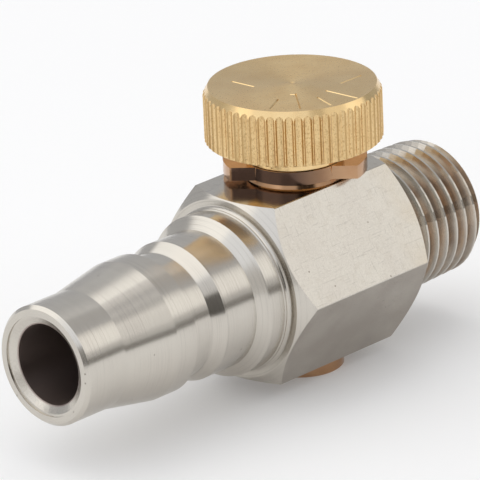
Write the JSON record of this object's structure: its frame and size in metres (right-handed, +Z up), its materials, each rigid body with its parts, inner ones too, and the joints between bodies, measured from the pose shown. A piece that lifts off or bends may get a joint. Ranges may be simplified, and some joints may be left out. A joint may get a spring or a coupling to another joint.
{
  "type": "needle valve",
  "caption": "In-line needle valve: hexagon body with a coupler plug nose, a taper pipe thread and a knurled brass knob that lifts a needle off its seat.",
  "frame": {"origin": "centre of the threaded end face, where the flow axis leaves the body", "axes": "+X along the flow axis and out of the threaded end, +Z up the knob axis, so the knob is on top"},
  "size_m": [0.051, 0.0196, 0.0273],
  "materials": {
    "nickel_plate": "satin nickel plate with lathe lines",
    "brass_knob": "machined, bright on the ridges",
    "brass_machined": "machined, slightly tarnished",
    "nitrile": "matte black rubber",
    "black_steel": "black oxide steel"
  },
  "bodies": {
    "root": {"valve_body": "nickel_plate", "bonnet": "brass_machined", "bonnet_oring": "nitrile", "bottom_plug": "brass_machined", "bottom_plug_oring": "nitrile"},
    "stem_seal": {"stem_oring": "nitrile"},
    "knob_and_needle": {"needle_stem": "brass_machined", "knob": "brass_knob", "knob_set_screw": "black_steel"}
  },
  "joints": [
    {"name": "needle_lift", "type": "slide", "parent": "root", "child": "stem_seal", "axis": [0, 0, 1], "range_m": [0, 0.0014]},
    {"name": "knob_turn", "type": "hinge", "parent": "stem_seal", "child": "knob_and_needle", "pos_m": [-0.0184, 0, 0.0143], "axis": [0, 0, 1], "range_deg": [0, 720]}
  ],
  "couplings": [
    {"joint": "needle_lift", "follows": "knob_turn", "m_per_rad": 0.00011141}
  ]
}
